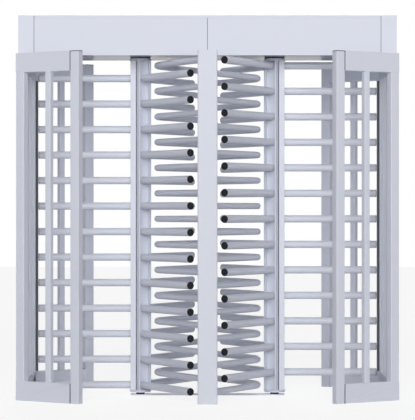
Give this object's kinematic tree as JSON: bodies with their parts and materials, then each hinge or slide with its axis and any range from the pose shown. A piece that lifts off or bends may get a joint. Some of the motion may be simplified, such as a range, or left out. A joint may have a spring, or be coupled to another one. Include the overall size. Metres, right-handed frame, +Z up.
{
  "type": "full height turnstile",
  "caption": "Full height pedestrian turnstile pair: rotors of straight arms turn between side cages and a bent tube barrier, under one drive head.",
  "frame": {"origin": "on the floor, midway between the two rotor axes", "axes": "+Z up, +X to the right seen from the front, +Y from the front to the rear"},
  "size_m": [2.276, 1.346, 2.3],
  "materials": {
    "powder_coat": "smooth satin powder coat, light cool grey",
    "black_trim": "black moulded plastic",
    "bare_steel": "machined steel",
    "bronze": "sintered bronze",
    "cast_housing": "painted cast iron",
    "coil_case": "dark painted steel",
    "control_case": "grey moulded plastic"
  },
  "bodies": {
    "root": {"base_plate": "powder_coat", "bearing_housings": "cast_housing", "bearings": "bare_steel", "centre_front_post": "powder_coat", "centre_rear_post": "powder_coat", "control_box": "control_case", "corner_seals": "black_trim", "head_floor": "powder_coat", "head_frame": "bare_steel", "left_bottom_rails": "powder_coat", "left_corner_posts": "powder_coat", "left_end_cap": "powder_coat", "left_front_post": "powder_coat", "left_infill_bars": "powder_coat", "left_loops": "powder_coat", "left_rear_post": "powder_coat", "left_top_rails": "powder_coat", "pawl_pins": "bare_steel", "pivot_pins": "bare_steel", "post_caps": "black_trim", "rail_pads": "black_trim", "right_bottom_rails": "powder_coat", "right_corner_posts": "powder_coat", "right_end_cap": "powder_coat", "right_front_post": "powder_coat", "right_infill_bars": "powder_coat", "right_loops": "powder_coat", "right_rear_post": "powder_coat", "right_top_rails": "powder_coat", "shaft_seals": "black_trim", "solenoids": "coil_case", "top_tie": "powder_coat"},
    "left_rotor": {"left_column": "powder_coat", "left_column_flanges": "powder_coat", "left_arms": "powder_coat", "left_arm_caps": "black_trim", "left_drive_shaft": "bare_steel", "left_index_cam": "bare_steel", "left_pivot_bush": "bronze"},
    "right_rotor": {"right_column": "powder_coat", "right_column_flanges": "powder_coat", "right_arms": "powder_coat", "right_arm_caps": "black_trim", "right_drive_shaft": "bare_steel", "right_index_cam": "bare_steel", "right_pivot_bush": "bronze"},
    "left_front_lock": {"left_front_pawl": "bare_steel"},
    "left_front_rod": {"left_front_plunger": "bare_steel"},
    "left_rear_lock": {"left_rear_pawl": "bare_steel"},
    "left_rear_rod": {"left_rear_plunger": "bare_steel"},
    "right_front_lock": {"right_front_pawl": "bare_steel"},
    "right_front_rod": {"right_front_plunger": "bare_steel"},
    "right_rear_lock": {"right_rear_pawl": "bare_steel"},
    "right_rear_rod": {"right_rear_plunger": "bare_steel"},
    "left_front_panel": {"left_front_cover": "powder_coat"},
    "left_rear_panel": {"left_rear_cover": "powder_coat"},
    "right_front_panel": {"right_front_cover": "powder_coat"},
    "right_rear_panel": {"right_rear_cover": "powder_coat"},
    "lid": {"head_lid": "powder_coat"}
  },
  "joints": [
    {"name": "left_rotor_spin", "type": "hinge", "parent": "root", "child": "left_rotor", "pos_m": [-0.41, 0, 0], "axis": [0, 0, 1], "continuous": true},
    {"name": "right_rotor_spin", "type": "hinge", "parent": "root", "child": "right_rotor", "pos_m": [0.41, 0, 0], "axis": [0, 0, 1], "continuous": true},
    {"name": "left_front_lock_swing", "type": "hinge", "parent": "root", "child": "left_front_lock", "pos_m": [-0.49, -0.14, 0], "axis": [0, 0, 1], "range_deg": [0, 8], "stiffness_Nm_per_rad": 0.5},
    {"name": "left_front_rod_slide", "type": "slide", "parent": "root", "child": "left_front_rod", "axis": [0, -1, 0], "range_m": [0, 0.0054]},
    {"name": "left_rear_lock_swing", "type": "hinge", "parent": "root", "child": "left_rear_lock", "pos_m": [-0.49, 0.14, 0], "axis": [0, 0, -1], "range_deg": [0, 8], "stiffness_Nm_per_rad": 0.5},
    {"name": "left_rear_rod_slide", "type": "slide", "parent": "root", "child": "left_rear_rod", "axis": [0, 1, 0], "range_m": [0, 0.0054]},
    {"name": "right_front_lock_swing", "type": "hinge", "parent": "root", "child": "right_front_lock", "pos_m": [0.49, -0.14, 0], "axis": [0, 0, -1], "range_deg": [0, 8], "stiffness_Nm_per_rad": 0.5},
    {"name": "right_front_rod_slide", "type": "slide", "parent": "root", "child": "right_front_rod", "axis": [0, -1, 0], "range_m": [0, 0.0054]},
    {"name": "right_rear_lock_swing", "type": "hinge", "parent": "root", "child": "right_rear_lock", "pos_m": [0.49, 0.14, 0], "axis": [0, 0, 1], "range_deg": [0, 8], "stiffness_Nm_per_rad": 0.5},
    {"name": "right_rear_rod_slide", "type": "slide", "parent": "root", "child": "right_rear_rod", "axis": [0, 1, 0], "range_m": [0, 0.0054]},
    {"name": "left_front_panel_off", "type": "slide", "parent": "root", "child": "left_front_panel", "axis": [0, -1, 0], "range_m": [0, 0.15]},
    {"name": "left_rear_panel_off", "type": "slide", "parent": "root", "child": "left_rear_panel", "axis": [0, 1, 0], "range_m": [0, 0.15]},
    {"name": "right_front_panel_off", "type": "slide", "parent": "root", "child": "right_front_panel", "axis": [0, -1, 0], "range_m": [0, 0.15]},
    {"name": "right_rear_panel_off", "type": "slide", "parent": "root", "child": "right_rear_panel", "axis": [0, 1, 0], "range_m": [0, 0.15]},
    {"name": "lid_off", "type": "slide", "parent": "root", "child": "lid", "axis": [0, 0, 1], "range_m": [0, 0.15]}
  ],
  "couplings": [
    {"joint": "left_front_rod_slide", "follows": "left_front_lock_swing", "m_per_rad": 0.038},
    {"joint": "left_rear_rod_slide", "follows": "left_rear_lock_swing", "m_per_rad": 0.038},
    {"joint": "right_front_rod_slide", "follows": "right_front_lock_swing", "m_per_rad": 0.038},
    {"joint": "right_rear_rod_slide", "follows": "right_rear_lock_swing", "m_per_rad": 0.038}
  ]
}
